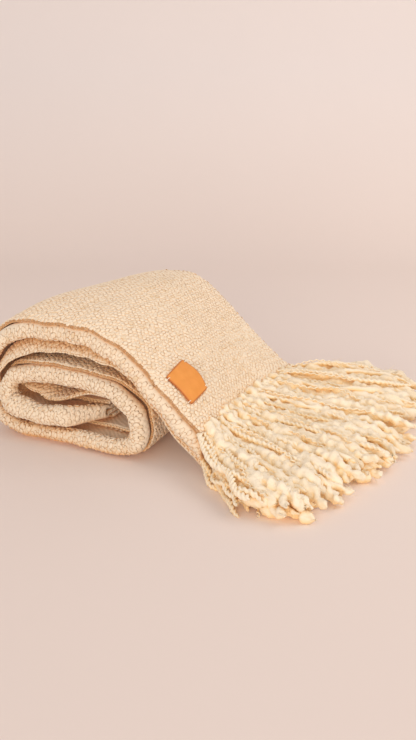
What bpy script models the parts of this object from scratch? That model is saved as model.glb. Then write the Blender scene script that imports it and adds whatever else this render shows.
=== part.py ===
"""Hand-woven wool throw, folded along its length into four layers and rolled up.

The fringed end trails from the roll: it slopes down to the surface that the throw
lies on, and its fringe fans out there.  A leather patch is sewn to the slope.

Model frame: metres, +Z up.  +X is the way the loose end points and +Y runs along
the roll, from the end with one rounded fold to the end with two.  The origin is on
the surface, under the middle of the bounding box.
"""

from collections import namedtuple

import bmesh
import bpy
import numpy as np
from mathutils import Vector

# --- driving dimensions ---------------------------------------------------------------

FOLDED_WIDTH = 0.340        # fold to fold, which is the length of the roll
CLOTH_THICKNESS = 0.0065    # thick slubby yarn, both faces of the weave
TOP_DEPTH = CLOTH_THICKNESS / 2

FLARE_LENGTH = 0.010        # how far behind its nose the near fold begins to swell
DROOP_LENGTH = 0.032        # the bottom layer's selvedge sags over this width
LIP = 0.0015                # the top selvedge bends down this far where it reaches the near fold,
LIP_LENGTH = 0.014          # over this width,
LIP_REACH = (0.010, 0.005)  # from nothing at the first setback to all of it at the second
SECTIONS = 52               # cross-sections along the cloth
NUDGE = 0.002               # half the step that a direction along the cloth is taken over
TURN_WEIGHT = 0.032         # metres of straight cloth that one radian of turn counts as

FRINGE_GAP = 0.0005         # between the cloth's cut end and the fringe's heading
HEADING_DEPTH = 0.006       # how far the fringe's heading stands out from the cloth
TEETH_PER_TIER = 12
TOOTH_STEPS = 4             # lengths that one tooth is made of
TOOTH_HALF_WIDTH = 0.0135
TOOTH_HALF_HEIGHT = 0.0110

PATCH_LENGTH = 0.0525       # down the slope
PATCH_WIDTH = 0.0545        # along the roll
PATCH_THICKNESS = 0.0022
PATCH_START = 0.044         # from the cloth's cut end, up the slope
PATCH_FROM_FOLD = 0.024     # from the near end of the roll
PATCH_SKEW = 0.007          # its far side is sewn on this much higher up the slope
PATCH_SPLAY = 0.0035        # its upper near corner comes this much nearer to the fold
PATCH_SEAT = 0.0006         # clearance between the leather's ends and the cloth
PATCH_BOW = 0.0030          # how far the middle of the leather lifts

# --- the roll, one row for each section -----------------------------------------------
# Rows follow the cloth's outer face from the fringed end, over the top of the roll,
# round the outside once and on into the core.
#   near_x, near_z    the outer face at the near end of the roll
#   far_x, far_z      the same at the far end
#   second ... fourth depth of the middle of each lower layer under the outer face
#   nose, out         height of the rounded near fold between layers two and three,
#                     and how far it stands out of the roll's near end
#   edge_1, edge_4    how far the selvedges of the top and bottom layers are set back
#   droop             how far the bottom layer's selvedge sags
#   crown             how far the middle of the width stands out from its two ends

Row = namedtuple("Row", "name near_x near_z far_x far_z second third fourth"
                        " nose out edge_1 edge_4 droop crown")

ROLL = [Row(*section) for section in (
    ("fringe_end",   .216, .0540,  .226, .0600, .0165, .0295, .0430, .0250, .000, .008, .006, .0000, .010),
    ("flap_low",     .195, .0790,  .205, .0680, .0155, .0285, .0420, .0260, .000, .006, .008, .0000, .011),
    ("flap_middle",  .168, .1060,  .168, .0940, .0145, .0262, .0385, .0240, .000, .004, .012, .0020, .012),
    ("flap_top",     .141, .1280,  .124, .1300, .0145, .0258, .0372, .0240, .000, .004, .013, .0030, .013),
    ("shoulder",     .110, .1560,  .089, .1620, .0150, .0255, .0370, .0232, .000, .005, .014, .0040, .014),
    ("crest_right",  .071, .1770,  .058, .1870, .0145, .0265, .0400, .0248, .000, .003, .010, .0090, .014),
    ("crest_front",  .028, .1900,  .022, .2010, .0140, .0270, .0420, .0258, .000, .001, .009, .0125, .014),
    ("crest",       -.018, .1930, -.018, .2010, .0140, .0270, .0415, .0258, .000, .001, .009, .0130, .014),
    ("crest_left",  -.065, .1900, -.064, .1870, .0140, .0265, .0400, .0250, .000, .003, .006, .0150, .014),
    ("left_upper",  -.110, .1730, -.110, .1640, .0130, .0245, .0370, .0240, .000, .012, .002, .0150, .013),
    ("left_high",   -.142, .1440, -.145, .1350, .0120, .0220, .0330, .0225, .000, .016, .000, .0120, .011),
    ("left",        -.163, .0980, -.166, .0900, .0115, .0205, .0290, .0205, .000, .014, .004, .0050, .008),
    ("left_low",    -.156, .0460, -.158, .0420, .0115, .0200, .0280, .0205, .000, .018, .022, .0000, .004),
    ("base_left",   -.126, .0110, -.128, .0100, .0118, .0202, .0280, .0195, .000, .012, .040, .0000, .001),
    ("base_back",   -.088, .0000, -.090, .0000, .0118, .0202, .0282, .0195, .000, .012, .044, .0000, .000),
    ("base_middle", -.025, .0000, -.032, .0000, .0118, .0202, .0282, .0200, .000, .012, .044, .0000, .000),
    ("base_lump",    .024, .0000,  .012, .0000, .0118, .0205, .0280, .0255, .000, .020, .044, .0000, .000),
    ("base_front",   .052, .0000,  .036, .0000, .0113, .0193, .0273, .0255, .003, .020, .044, .0000, .000),
    ("base_right",   .080, .0000,  .058, .0000, .0113, .0193, .0275, .0250, .004, .020, .040, .0000, .000),
    ("right_foot",   .110, .0060,  .088, .0060, .0115, .0200, .0285, .0270, .003, .020, .034, .0000, .000),
    ("right_low",    .129, .0230,  .106, .0230, .0120, .0213, .0305, .0295, .002, .021, .028, .0000, .000),
    ("right",        .134, .0460,  .111, .0460, .0122, .0220, .0320, .0300, .000, .023, .024, .0000, .000),
    ("right_high",   .130, .0740,  .103, .0710, .0128, .0235, .0335, .0300, .000, .023, .022, .0000, .000),
    ("inner_right",  .109, .0990,  .081, .0930, .0135, .0260, .0350, .0300, .000, .021, .020, .0000, .000),
    ("inner_front",  .079, .1185,  .054, .1130, .0140, .0270, .0360, .0278, .000, .011, .018, .0000, .000),
    ("inner_top",    .034, .1255,  .020, .1235, .0142, .0277, .0400, .0268, .000, .006, .018, .0020, .000),
    ("inner_sag",   -.030, .1285, -.038, .1265, .0145, .0300, .0592, .0295, .000, .004, .018, .0060, .000),
    ("inner_back",  -.058, .1275, -.062, .1255, .0145, .0295, .0495, .0286, .000, .005, .018, .0125, .000),
    ("inner_turn",  -.084, .1225, -.086, .1205, .0140, .0275, .0415, .0274, .000, .010, .018, .0095, .000),
    ("inner_upper", -.106, .1150, -.108, .1130, .0125, .0245, .0365, .0270, .000, .020, .020, .0030, .000),
    ("inner_high",  -.121, .0990, -.123, .0980, .0120, .0220, .0315, .0265, .000, .022, .022, .0000, .000),
    ("inner_left",  -.128, .0770, -.130, .0760, .0115, .0200, .0280, .0290, .004, .026, .028, .0000, .000),
    ("inner_low",   -.121, .0540, -.123, .0540, .0115, .0205, .0290, .0330, .010, .034, .036, .0000, .000),
    ("inner_foot",  -.106, .0395, -.108, .0395, .0120, .0220, .0310, .0350, .014, .044, .044, .0000, .000),
    ("core_back",   -.082, .0340, -.085, .0340, .0120, .0220, .0310, .0350, .014, .050, .048, .0000, .000),
    ("core_dip",    -.045, .0335, -.050, .0335, .0102, .0172, .0245, .0300, .014, .050, .048, .0000, .000),
    ("core_middle", -.008, .0340, -.014, .0340, .0112, .0195, .0275, .0335, .012, .050, .048, .0000, .000),
    ("core_front",   .018, .0340,  .008, .0340, .0113, .0193, .0273, .0275, -.014, .050, .048, .0000, .000),
    ("core_end",     .056, .0340,  .032, .0340, .0113, .0193, .0273, .0205, -.040, .064, .052, .0000, .000),
)]

# What only the loose end does, towards its cut edge.
#   plumb   how far the way down through the stack turns to straight down, 0 to 1
#   bow     how far the middle of the width is drawn back towards the roll

Loose = namedtuple("Loose", "plumb bow")

LOOSE_END = {
    "fringe_end": Loose(1.0, 0.024),
    "flap_low": Loose(0.5, 0.014),
    "flap_middle": Loose(0.1, 0.005),
}

# The fringe's fan on the surface, one row for each part of the cut end.
#   along     place along the cut end, 0 at the near corner and 1 at the far one
#   heading   degrees from +X towards +Y
#   reach     how far the strands stretch from the cut end
#   pile      how much higher the upper strands are heaped

Fan = namedtuple("Fan", "name along heading reach pile")

FRINGE_FAN = (
    Fan("near_corner", 0.00, -44, 0.168, 0.000),
    Fan("near",        0.10, -29, 0.222, 0.000),
    Fan("near_middle", 0.28, -11, 0.245, 0.000),
    Fan("middle",      0.50, 1,   0.258, 0.002),
    Fan("far_middle",  0.72, 11,  0.255, 0.006),
    Fan("far",         0.90, 24,  0.240, 0.009),
    Fan("far_corner",  1.00, 36,  0.215, 0.010),
)

#   middle_z, tip_z   height of a strand's middle line half way and at its tip
#   share             reach of the tier's strands, as a share of the fan's

Tier = namedtuple("Tier", "name middle_z tip_z share")

FRINGE_TIERS = (
    Tier("lower", 0.0100, 0.0098, 1.00),
    Tier("upper", 0.0430, 0.0360, 0.88),
)

WOOL = ("undyed wool", (0.86, 0.74, 0.58, 1.0), 0.95)
ROVING = ("wool roving", (0.90, 0.82, 0.66, 1.0), 0.95)
LEATHER = ("vegetable tanned leather", (0.80, 0.42, 0.16, 1.0), 0.55)

KNOT_COUNT = 5
WIDTH_KNOTS = np.linspace(0.0, FOLDED_WIDTH, KNOT_COUNT)    # the width's bow bends here
KNOT_BOW = np.sin(np.pi * WIDTH_KNOTS / FOLDED_WIDTH)
KNOT_CROWN = np.sin(np.pi * (WIDTH_KNOTS / FOLDED_WIDTH) ** 0.7)    # fullest near the near end


# --- the roll's surface ---------------------------------------------------------------

def smooth_rows(places, values, wanted):
    """Monotone cubic curve through the rows: it never swings past a row's value."""
    steps = np.diff(places)[:, None]
    slopes = np.diff(values, axis=0) / steps
    tangents = np.empty_like(values)
    tangents[0], tangents[-1] = slopes[0], slopes[-1]
    before, after = slopes[:-1], slopes[1:]
    same_way = before * after > 0
    total = np.where(same_way, before + after, 1.0)
    tangents[1:-1] = np.where(same_way, 2 * before * after / total, 0.0)
    row = np.clip(np.searchsorted(places, wanted, side="right") - 1, 0, len(places) - 2)
    step = steps[row]
    t = ((wanted - places[row])[:, None]) / step
    return ((2 * t**3 - 3 * t**2 + 1) * values[row] + (t**3 - 2 * t**2 + t) * step * tangents[row]
            + (3 * t**2 - 2 * t**3) * values[row + 1] + (t**3 - t**2) * step * tangents[row + 1])


def roll_rows():
    """The table's columns, with a place in metres along the cloth for each row."""
    table = np.array([row[1:] + LOOSE_END.get(row.name, Loose(0.0, 0.0)) for row in ROLL])
    steps = np.hypot(*np.diff(table[:, 0:2], axis=0).T)
    places = np.concatenate(([0.0], np.cumsum(steps)))
    return places, table


def columns_at(wanted):
    """Every column of the table, smoothed, at places along the cloth."""
    places, table = roll_rows()
    values = smooth_rows(places, table, np.asarray(wanted, dtype=float))
    return dict(zip(Row._fields[1:] + Loose._fields, values.T))


def section_places():
    """Where the cross-sections are taken: closer together where the cloth turns."""
    places, _ = roll_rows()
    fine = np.linspace(0.0, places[-1], 600)
    row = columns_at(fine)
    heading = np.unwrap(np.arctan2(np.gradient(row["near_z"]), np.gradient(row["near_x"])))
    cost = fine + TURN_WEIGHT * np.concatenate(([0.0], np.cumsum(np.abs(np.diff(heading)))))
    return np.interp(np.linspace(0.0, cost[-1], SECTIONS), cost, fine)


def outer_face(wanted, across):
    """Outer face of the roll, and the way down through the stack, as X and Z.

    wanted holds S places along the cloth, and across S x W distances from the near end.
    The last result is the cosine of the angle between the way down and the normal.
    """
    share = across / FOLDED_WIDTH
    bow = np.interp(across, WIDTH_KNOTS, KNOT_BOW)
    crown = np.interp(across, WIDTH_KNOTS, KNOT_CROWN)

    def contour(at):
        row = {name: column[:, None] for name, column in columns_at(at).items()}
        x = row["near_x"] * (1 - share) + row["far_x"] * share - row["bow"] * bow
        z = row["near_z"] * (1 - share) + row["far_z"] * share
        return np.stack([x, z], axis=-1), row

    last = roll_rows()[0][-1]
    ahead, behind = np.minimum(wanted + NUDGE, last), np.maximum(wanted - NUDGE, 0.0)
    along = contour(ahead)[0] - contour(behind)[0]
    along /= np.linalg.norm(along, axis=-1, keepdims=True)
    inward = np.stack([-along[..., 1], along[..., 0]], axis=-1)
    ruled, row = contour(wanted)
    plumb = row["plumb"][..., None]
    down = inward * (1 - plumb) + np.array([0.0, -1.0]) * plumb
    down /= np.linalg.norm(down, axis=-1, keepdims=True)
    outer = ruled - inward * (row["crown"] * crown)[..., None]
    return outer, down, np.sum(down * inward, axis=-1)


# --- the fold, seen from the cut end ---------------------------------------------------

def arc(count, start, end):
    """Angles inside an arc, its two ends left out."""
    return np.radians(np.linspace(start, end, count + 2)[1:-1])


def layer_line(start, depth, steps):
    """Points on a straight layer: its start, then the knots that the width bends at."""
    return [(start, depth)] + [(np.full_like(start, y), depth) for y in steps]


def fold_path(row):
    """Middle line of the cloth across the fold, as distance and depth, S x W each.

    It runs from the top selvedge to the far fold, back to the near fold, to the far
    fold again and back to the bottom selvedge.
    """
    d_1 = np.full_like(row["second"], TOP_DEPTH)
    d_2, d_3, d_4 = row["second"], row["third"], row["fourth"]
    knots = WIDTH_KNOTS[1:-1]
    inner_knots = knots[knots > 0.05]

    bend = np.clip((LIP_REACH[0] - row["edge_1"]) / (LIP_REACH[0] - LIP_REACH[1]), 0, 1)
    points = [(row["edge_1"], d_1 + LIP * bend)]
    points += layer_line(row["edge_1"] + LIP_LENGTH, d_1, inner_knots)
    far_radius = (d_2 - d_1) / 2
    centre = FOLDED_WIDTH - far_radius
    points.append((centre, d_1))
    points += [(centre + far_radius * np.sin(a), (d_1 + d_2) / 2 - far_radius * np.cos(a))
               for a in arc(2, 0, 180)]
    points.append((centre, d_2))

    points += [(np.full_like(d_2, y), d_2) for y in inner_knots[::-1]]
    radius = row["nose"] / 2 - TOP_DEPTH
    centre, middle = radius - row["out"], (d_2 + d_3) / 2
    points.append((centre + FLARE_LENGTH, d_2))
    points += [(centre - radius * np.sin(a), middle - radius * np.cos(a))
               for a in arc(4, -22, 202)]
    points.append((centre + FLARE_LENGTH, d_3))
    points += [(np.full_like(d_3, y), d_3) for y in inner_knots]

    far_radius = (d_4 - d_3) / 2
    centre = FOLDED_WIDTH - 0.004 - far_radius
    points.append((centre, d_3))
    points += [(centre + far_radius * np.sin(a), (d_3 + d_4) / 2 - far_radius * np.cos(a))
               for a in arc(2, 0, 180)]
    points.append((centre, d_4))
    points += [(np.full_like(d_4, y), d_4) for y in inner_knots[::-1]]
    points.append((row["edge_4"] + DROOP_LENGTH, d_4))
    points.append((row["edge_4"], d_4 + row["droop"]))

    across, depth = (np.stack(part, axis=1) for part in zip(*points))
    return across, depth


def cloth_faces():
    """Both faces of the cloth as S x W grids of points, the upper one first."""
    places = section_places()
    across, depth = fold_path(columns_at(places))
    run = np.stack([np.gradient(across, axis=1), np.gradient(depth, axis=1)], axis=-1)
    run /= np.linalg.norm(run, axis=-1, keepdims=True)
    faces = []
    for side in (-1, 1):
        y = across - side * run[..., 1] * TOP_DEPTH
        outer, down, slant = outer_face(places, y)
        d = depth - TOP_DEPTH + (1 + side * run[..., 0]) * TOP_DEPTH / slant
        face = outer + down * d[..., None]
        faces.append(np.stack([face[..., 0], y, face[..., 1]], axis=-1))
    return faces


def cloth_mesh():
    """One closed solid: the two faces, the two selvedges and the two cut ends."""
    upper, lower = cloth_faces()
    rows, columns = upper.shape[:2]
    points = np.concatenate([upper.reshape(-1, 3), lower.reshape(-1, 3)])
    top = np.arange(rows * columns).reshape(rows, columns)
    under = top + rows * columns

    def quads(a, b):
        return np.stack([a[:-1], b[:-1], b[1:], a[1:]], axis=-1).reshape(-1, 4)

    def sheet(grid):
        return np.stack([grid[:-1, :-1], grid[1:, :-1], grid[1:, 1:], grid[:-1, 1:]],
                        axis=-1).reshape(-1, 4)

    faces = np.concatenate([
        sheet(top)[:, ::-1], sheet(under),
        quads(top[:, 0], under[:, 0])[:, ::-1], quads(top[:, -1], under[:, -1]),
        quads(top[0], under[0]), quads(top[-1], under[-1])[:, ::-1],
    ])
    mesh = bpy.data.meshes.new("throw_cloth")
    mesh.from_pydata(points.tolist(), [], faces.tolist())
    return mesh


# --- the fringe -----------------------------------------------------------------------

def fan_at(along):
    """Heading in radians, reach and pile of the strands at a place along the cut end."""
    table = np.array([row[1:] for row in FRINGE_FAN], dtype=float)
    heading, reach, pile = smooth_rows(table[:, 0], table[:, 1:], np.array([along]))[0]
    return np.radians(heading), reach, pile


def cut_end(along, level, out):
    """A point in front of the cloth's cut end: level 0 is its top edge, 1 its foot."""
    edge = np.array([0.0])
    outer, down, _ = outer_face(edge, WIDTH_KNOTS[None, :])
    depth = level * (columns_at(edge)["fourth"][0] + TOP_DEPTH)
    knots = outer[0] + down[0] * depth + np.array([out, 0.0])
    y = FOLDED_WIDTH * along
    return Vector((np.interp(y, WIDTH_KNOTS, knots[:, 0]), y, np.interp(y, WIDTH_KNOTS, knots[:, 1])))


def tooth_rings(root, along, tier, number):
    """Corner points of one tooth's cross-sections, from its root to its tip."""
    heading, reach, pile = fan_at(along)
    pile = pile if tier.name == "upper" else 0.0
    forward = Vector((np.cos(heading), np.sin(heading), 0.0))
    side = Vector((-forward.y, forward.x, 0.0))
    rings = []
    for step in range(1, TOOTH_STEPS + 1):
        share = step / TOOTH_STEPS
        rest = tier.middle_z + pile + (tier.tip_z - tier.middle_z) * share
        height = rest + (root.z - rest) * (1 - share) ** 2
        sway = 0.003 * np.sin(2.4 * number + 4.2 * share)
        centre = root + forward * reach * tier.share * share + side * sway
        centre.z = height
        size = (1.0, 1.06, 0.97, 0.62)[step - 1]
        across = side * TOOTH_HALF_WIDTH * size
        up = Vector((0.0, 0.0, TOOTH_HALF_HEIGHT * size))
        rings.append([centre + across * a + up * b for a, b in ((-1, -1), (1, -1), (1, 1), (-1, 1))])
    return rings


def fringe_mesh():
    """A comb: a heading along the cut end, with two tiers of teeth grown out of it."""
    bm = bmesh.new()
    margin = 0.012
    levels = (0.96, 0.50, 0.05)
    front, back = [], []
    for level in levels:
        front.append([])
        back.append([])
        for column in range(TEETH_PER_TIER + 1):
            along = np.clip(column / TEETH_PER_TIER, margin, 1 - margin)
            back[-1].append(bm.verts.new(cut_end(along, level, FRINGE_GAP)))
            front[-1].append(bm.verts.new(cut_end(along, level, FRINGE_GAP + HEADING_DEPTH)))
    last = TEETH_PER_TIER
    for column in range(last):
        for row in (0, 1):
            bm.faces.new((back[row][column], back[row + 1][column],
                          back[row + 1][column + 1], back[row][column + 1]))
        bm.faces.new((front[0][column], back[0][column], back[0][column + 1], front[0][column + 1]))
        bm.faces.new((back[2][column], front[2][column], front[2][column + 1], back[2][column + 1]))
    for row in (0, 1):
        bm.faces.new((front[row][0], front[row + 1][0], back[row + 1][0], back[row][0]))
        bm.faces.new((back[row][last], back[row + 1][last], front[row + 1][last], front[row][last]))
    for row, tier in enumerate(FRINGE_TIERS):
        for column in range(last):
            face = bm.faces.new((front[row][column], front[row][column + 1],
                                 front[row + 1][column + 1], front[row + 1][column]))
            along = (column + 0.5) / last
            grow_tooth(bm, face, along, tier, column)
    mesh = bpy.data.meshes.new("fringe_comb")
    bm.to_mesh(mesh)
    bm.free()
    return mesh


def grow_tooth(bm, face, along, tier, number):
    """Extrude one tooth from a face of the heading."""
    root = face.calc_center_median()
    for ring in tooth_rings(root, along, tier, number):
        face = bmesh.ops.extrude_discrete_faces(bm, faces=[face])["faces"][0]
        for corner, place in zip(face.verts, ring):
            corner.co = place


# --- the leather patch ----------------------------------------------------------------

def patch_mesh():
    """Upper face of the patch, bowed away from the slope in the middle of its length."""
    rows, columns = 6, 4
    up_slope, along_roll = np.meshgrid(np.linspace(1, 0, rows), np.linspace(0, 1, columns), indexing="ij")
    places = PATCH_START + PATCH_LENGTH * up_slope + PATCH_SKEW * along_roll
    across = PATCH_FROM_FOLD + PATCH_WIDTH * along_roll - PATCH_SPLAY * up_slope * (1 - along_roll)
    outer, down, _ = outer_face(places.ravel(), across.reshape(-1, 1))
    lift = PATCH_SEAT + PATCH_THICKNESS + PATCH_BOW * np.sin(np.pi * up_slope.ravel())
    top = outer[:, 0] - down[:, 0] * lift[:, None]
    points = np.stack([top[:, 0], across.ravel(), top[:, 1]], axis=-1)
    index = np.arange(rows * columns).reshape(rows, columns)
    faces = np.stack([index[:-1, :-1], index[1:, :-1], index[1:, 1:], index[:-1, 1:]], axis=-1)
    mesh = bpy.data.meshes.new("label_patch")
    mesh.from_pydata(points.tolist(), [], faces.reshape(-1, 4).tolist())
    return mesh


# --- the scene's objects --------------------------------------------------------------

def material(name, colour, roughness):
    finish = bpy.data.materials.new(name)
    finish.use_nodes = True
    shader = finish.node_tree.nodes["Principled BSDF"]
    shader.inputs["Base Color"].default_value = colour
    shader.inputs["Roughness"].default_value = roughness
    shader.inputs["Metallic"].default_value = 0.0
    return finish


def add_part(mesh, collection, origin, finish):
    part = bpy.data.objects.new(mesh.name, mesh)
    collection.objects.link(part)
    part.parent = origin
    mesh.materials.append(material(*finish))
    mesh.shade_smooth()
    return part


def centre_on_surface(parts, origin):
    """Put the middle of the bounding box over the world's origin, and leave Z alone."""
    bpy.context.view_layer.update()
    graph = bpy.context.evaluated_depsgraph_get()
    corners = [part.evaluated_get(graph).matrix_world @ vertex.co
               for part in parts for vertex in part.evaluated_get(graph).data.vertices]
    for axis in (0, 1):
        values = [corner[axis] for corner in corners]
        origin.location[axis] -= (min(values) + max(values)) / 2
    bpy.context.view_layer.update()


def main():
    for thing in list(bpy.data.objects):
        bpy.data.objects.remove(thing, do_unlink=True)
    collection = bpy.data.collections.new("wool_throw")
    bpy.context.scene.collection.children.link(collection)
    origin = bpy.data.objects.new("roll_foot", None)
    collection.objects.link(origin)

    cloth = add_part(cloth_mesh(), collection, origin, WOOL)

    fringe = add_part(fringe_mesh(), collection, origin, ROVING)
    rounding = fringe.modifiers.new("Rounding", "SUBSURF")
    rounding.levels = rounding.render_levels = 1

    patch = add_part(patch_mesh(), collection, origin, LEATHER)
    leather = patch.modifiers.new("Leather", "SOLIDIFY")
    leather.thickness = PATCH_THICKNESS
    leather.offset = -1

    centre_on_surface((cloth, fringe, patch), origin)


if __name__ == "__main__":
    main()
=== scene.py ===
import math

import bpy
import numpy as np
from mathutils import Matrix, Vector


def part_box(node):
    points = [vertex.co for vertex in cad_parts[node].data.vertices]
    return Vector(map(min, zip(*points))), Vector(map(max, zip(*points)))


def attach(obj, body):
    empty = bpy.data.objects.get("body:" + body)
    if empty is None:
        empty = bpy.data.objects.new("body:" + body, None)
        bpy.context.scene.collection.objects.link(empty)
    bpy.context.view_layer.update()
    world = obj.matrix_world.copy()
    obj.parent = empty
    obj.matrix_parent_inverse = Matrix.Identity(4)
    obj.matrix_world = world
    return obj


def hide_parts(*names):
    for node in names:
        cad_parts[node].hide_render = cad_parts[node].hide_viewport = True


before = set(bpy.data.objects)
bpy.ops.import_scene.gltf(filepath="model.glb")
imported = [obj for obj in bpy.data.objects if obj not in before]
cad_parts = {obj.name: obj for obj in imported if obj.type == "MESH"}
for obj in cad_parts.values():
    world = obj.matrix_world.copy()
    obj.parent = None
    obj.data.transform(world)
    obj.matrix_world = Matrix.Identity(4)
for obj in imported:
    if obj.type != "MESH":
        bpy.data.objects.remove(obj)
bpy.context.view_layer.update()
clothLow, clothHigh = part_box("throw_cloth")
fringeLow, fringeHigh = np.array(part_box("fringe_comb"))
rng = np.random.default_rng(7)
scene = bpy.context.scene


# sRGB hex to linear RGBA.
def linear(hexColour):
    values = np.array([int(hexColour[k:k + 2], 16) for k in (1, 3, 5)]) / 255
    low = values <= 0.04045
    rgb = np.where(low, values / 12.92, ((values + 0.055) / 1.055) ** 2.4)
    return (*[float(v) for v in rgb], 1.0)


# A mesh from an N x 3 array of points and a list of arrays of three- or four-sided faces.
def makeMesh(name, points, faces, uv=None, tint=None):
    mesh = bpy.data.meshes.new(name)
    loops = np.concatenate([f.ravel() for f in faces]).astype(np.int32)
    sizes = np.concatenate([np.full(len(f), f.shape[1]) for f in faces])
    starts = (np.cumsum(sizes) - sizes).astype(np.int32)
    mesh.vertices.add(len(points))
    mesh.vertices.foreach_set("co", np.asarray(points, dtype=np.float32).ravel())
    mesh.loops.add(len(loops))
    mesh.loops.foreach_set("vertex_index", loops)
    mesh.polygons.add(len(sizes))
    mesh.polygons.foreach_set("loop_start", starts)
    mesh.update(calc_edges=True)
    if uv is not None:
        layer = mesh.uv_layers.new(name="flat")
        layer.data.foreach_set("uv", uv[loops].astype(np.float32).ravel())
    if tint is not None:
        layer = mesh.attributes.new("tint", "FLOAT", "POINT")
        layer.data.foreach_set("value", np.asarray(tint, dtype=np.float32))
    mesh.validate()
    mesh.shade_smooth()
    return mesh


# Links a mesh as a piece that rides on the throw's only body.
def addPiece(mesh, finish, node=None):
    piece = bpy.data.objects.new(mesh.name, mesh)
    scene.collection.objects.link(piece)
    mesh.materials.append(finish)
    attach(piece, "root")
    if node:
        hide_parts(node)
    print("  ", mesh.name, len(mesh.loops) - 2 * len(mesh.polygons), "triangles")
    return piece


# Vectors of length one in the same directions.
def unit(vectors):
    return vectors / np.maximum(np.linalg.norm(vectors, axis=-1, keepdims=True), 1e-12)


# Arrays side by side in a last axis, such as X, Y and Z into points.
def joined(*parts):
    return np.stack(np.broadcast_arrays(*parts), axis=-1)


# Quads between the points of a rows x columns grid.
def gridFaces(rows, columns, start=0, flip=False):
    index = start + np.arange(rows * columns).reshape(rows, columns)
    corners = [index[:-1, :-1], index[1:, :-1], index[1:, 1:], index[:-1, 1:]]
    return joined(*corners[::-1] if flip else corners).reshape(-1, 4)


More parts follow.
